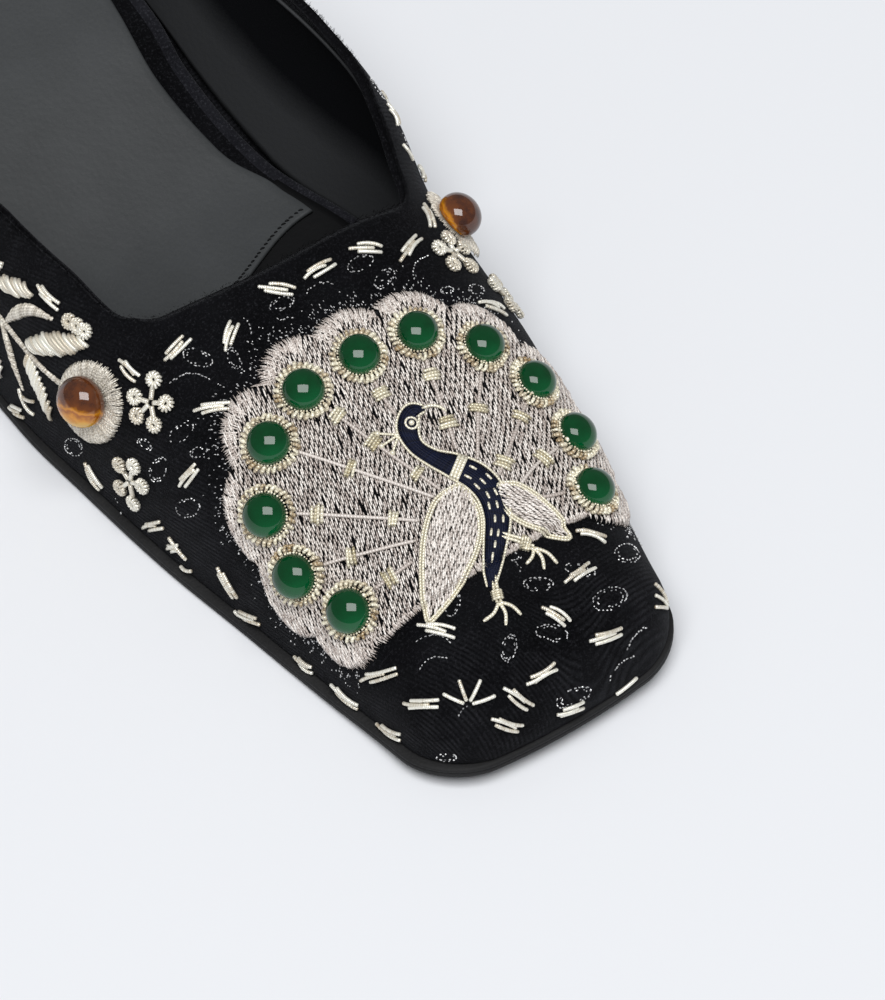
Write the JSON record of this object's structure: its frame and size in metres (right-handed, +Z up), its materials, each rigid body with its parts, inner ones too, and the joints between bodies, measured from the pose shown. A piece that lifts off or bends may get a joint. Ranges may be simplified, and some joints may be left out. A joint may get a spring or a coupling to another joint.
{
  "type": "wedge mule",
  "caption": "Square-toed slip-on wedge mule in black velvet, open at the heel, with a raised metal-thread peacock fan, glass cabochons and a leather sock.",
  "frame": {"origin": "centre of the bounding box in plan, on the floor under the sole", "axes": "+Z up, the toe points to -Y and the heel to +Y, +X is the inner (medial) side of this right shoe"},
  "size_m": [0.0744, 0.2512, 0.0376],
  "materials": {
    "velvet": "black cotton velvet, short nap with a soft sheen at grazing angles",
    "outsole": "black sole leather, satin edge",
    "sock_leather": "dark grey nappa, satin",
    "lining": "charcoal lining leather, satin",
    "silver_thread": "metallised silver thread, satin stitch",
    "gold_purl": "pale gold coiled purl and beads",
    "navy_silk": "navy silk satin stitch",
    "green_glass": "opaque emerald glass, polished",
    "amber_glass": "translucent amber glass, polished"
  },
  "bodies": {
    "root": {"outsole": "outsole", "wedge": "velvet", "footbed": "velvet", "sock": "sock_leather", "upper": "velvet", "fan": "silver_thread", "cabochon_01": "green_glass", "cabochon_02": "green_glass", "cabochon_03": "green_glass", "cabochon_04": "green_glass", "cabochon_05": "green_glass", "cabochon_06": "green_glass", "cabochon_07": "green_glass", "cabochon_08": "green_glass", "cabochon_09": "green_glass", "cabochon_10": "green_glass", "cabochon_11": "green_glass", "stone_ring_01": "gold_purl", "stone_ring_02": "gold_purl", "stone_ring_03": "gold_purl", "stone_ring_04": "gold_purl", "stone_ring_05": "gold_purl", "stone_ring_06": "gold_purl", "stone_ring_07": "gold_purl", "stone_ring_08": "gold_purl", "stone_ring_09": "gold_purl", "stone_ring_10": "gold_purl", "stone_ring_11": "gold_purl", "amber_lateral": "amber_glass", "amber_medial": "amber_glass", "halo_lateral": "silver_thread", "halo_medial": "silver_thread"}
  },
  "joints": []
}
